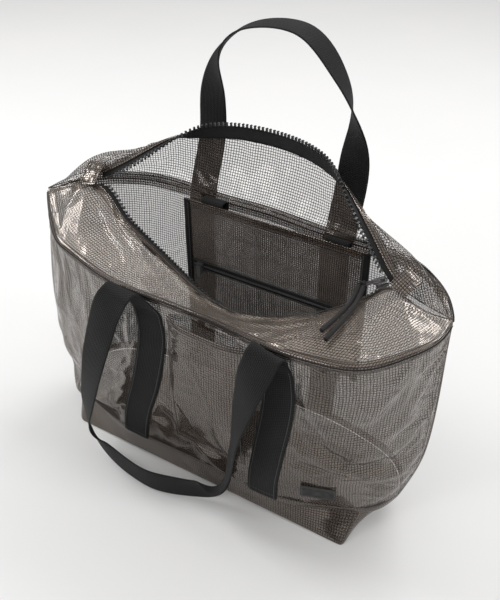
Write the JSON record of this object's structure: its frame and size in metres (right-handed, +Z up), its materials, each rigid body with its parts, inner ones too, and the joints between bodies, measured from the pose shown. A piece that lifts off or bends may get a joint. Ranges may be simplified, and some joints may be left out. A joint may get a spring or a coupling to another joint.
{
  "type": "beach bag",
  "caption": "Open-top tote beach bag in clear mesh-reinforced film with a zip across the mouth, two webbing handles and a hanging inner zip pocket.",
  "frame": {"origin": "on the floor under the middle of the base panel", "axes": "+X along the bag's length towards the end where the main zip slider is parked, -Y the front with the patch and slip pocket, +Z up"},
  "size_m": [0.5216, 0.2856, 0.5157],
  "materials": {
    "film": "glossy clear film over a black square thread grid",
    "webbing": "ribbed webbing",
    "zip_tape": "woven tape",
    "binding": "grosgrain",
    "zip_teeth": "moulded, satin",
    "slider_metal": "gun-metal plating",
    "small_slider": "black painted",
    "lace": "braided",
    "patch": "matt, ribbed"
  },
  "bodies": {
    "bag": {"back_handle_left_leg": "webbing", "back_handle_right_leg": "webbing", "back_panel": "film", "back_rim_allowance": "film", "back_yoke": "film", "back_zip_tape": "zip_tape", "back_zip_teeth": "zip_teeth", "base_panel": "film", "front_handle_left_leg": "webbing", "front_handle_right_leg": "webbing", "front_panel": "film", "front_rim_allowance": "film", "front_slip_pocket": "film", "front_yoke": "film", "front_zip_tape": "zip_tape", "front_zip_teeth": "zip_teeth", "label_patch": "patch", "left_end_tab": "film", "pocket_left_hanger": "webbing", "pocket_right_hanger": "webbing", "right_end_tab": "film"},
    "front_handle": {"front_handle_loop": "webbing"},
    "back_handle": {"back_handle_loop": "webbing"},
    "main_slider": {"main_slider": "slider_metal"},
    "main_puller": {"main_puller": "slider_metal", "lace_knot": "lace", "lace_tail_left": "lace", "lace_tail_right": "lace"},
    "hanging_pocket": {"pocket_back_sheet": "film", "pocket_front_upper": "film", "pocket_front_lower": "film", "pocket_left_binding": "binding", "pocket_right_binding": "binding", "pocket_zip_tape": "zip_tape", "pocket_zip_coil": "zip_teeth"},
    "pocket_slider": {"pocket_slider": "small_slider"},
    "pocket_puller": {"pocket_puller": "small_slider"}
  },
  "joints": [
    {"name": "front_handle_fold", "type": "hinge", "parent": "bag", "child": "front_handle", "pos_m": [0, -0.0975, 0.2855], "axis": [-1, 0, 0], "range_deg": [0, 170]},
    {"name": "back_handle_fold", "type": "hinge", "parent": "bag", "child": "back_handle", "pos_m": [0, 0.1, 0.298], "axis": [-1, 0, 0], "range_deg": [0, 150]},
    {"name": "main_slider_run", "type": "slide", "parent": "bag", "child": "main_slider", "axis": [0.8419, 0.2004, 0.5011], "range_m": [-0.004, 0]},
    {"name": "main_puller_flip", "type": "hinge", "parent": "main_slider", "child": "main_puller", "pos_m": [0.17274, 0.02779, 0.3101], "axis": [-0.1733, 0.9797, -0.1008], "range_deg": [0, 110]},
    {"name": "hanging_pocket_swing", "type": "hinge", "parent": "bag", "child": "hanging_pocket", "pos_m": [0.0175, 0.076, 0.3065], "axis": [-1, 0, 0], "range_deg": [0, 38]},
    {"name": "pocket_slider_run", "type": "slide", "parent": "hanging_pocket", "child": "pocket_slider", "axis": [1, 0, 0], "range_m": [0, 0.205]},
    {"name": "pocket_puller_flip", "type": "hinge", "parent": "pocket_slider", "child": "pocket_puller", "pos_m": [-0.0845, 0.0684, 0.2155], "axis": [-1, 0, 0], "range_deg": [0, 100]}
  ]
}
